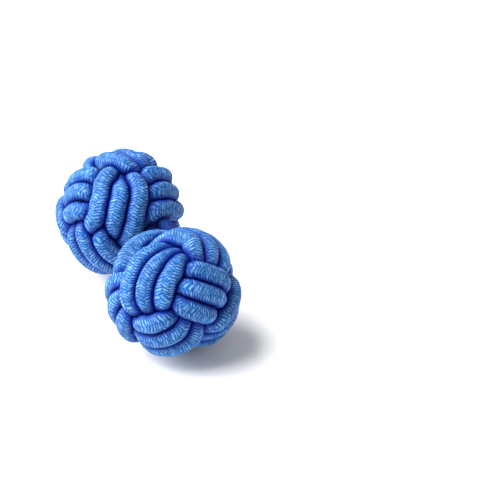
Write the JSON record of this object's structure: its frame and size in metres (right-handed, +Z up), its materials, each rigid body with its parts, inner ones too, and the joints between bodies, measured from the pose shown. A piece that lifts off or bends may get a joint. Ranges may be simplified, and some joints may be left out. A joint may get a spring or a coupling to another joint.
{
  "type": "silk knot cuff button",
  "caption": "Cuff button of braided cord: ball knots joined by a short soft link, worn through the buttonholes of a double cuff.",
  "frame": {"origin": "bottom centre of the bounding box, on the surface it lies on", "axes": "+X along the link, from the rear knot to the front knot; +Z up"},
  "size_m": [0.0272, 0.0123, 0.0123],
  "materials": {
    "braided_cord": "bright blue satin braid with fine ribs across the cord",
    "link_cord": "the same braid, stretched smooth"
  },
  "bodies": {
    "root": {"front_knot_pass_1": "braided_cord", "front_knot_pass_2": "braided_cord", "front_knot_pass_3": "braided_cord", "rear_knot_pass_1": "braided_cord", "rear_knot_pass_2": "braided_cord", "rear_knot_pass_3": "braided_cord", "link_cord_1": "link_cord", "link_cord_2": "link_cord"}
  },
  "joints": []
}
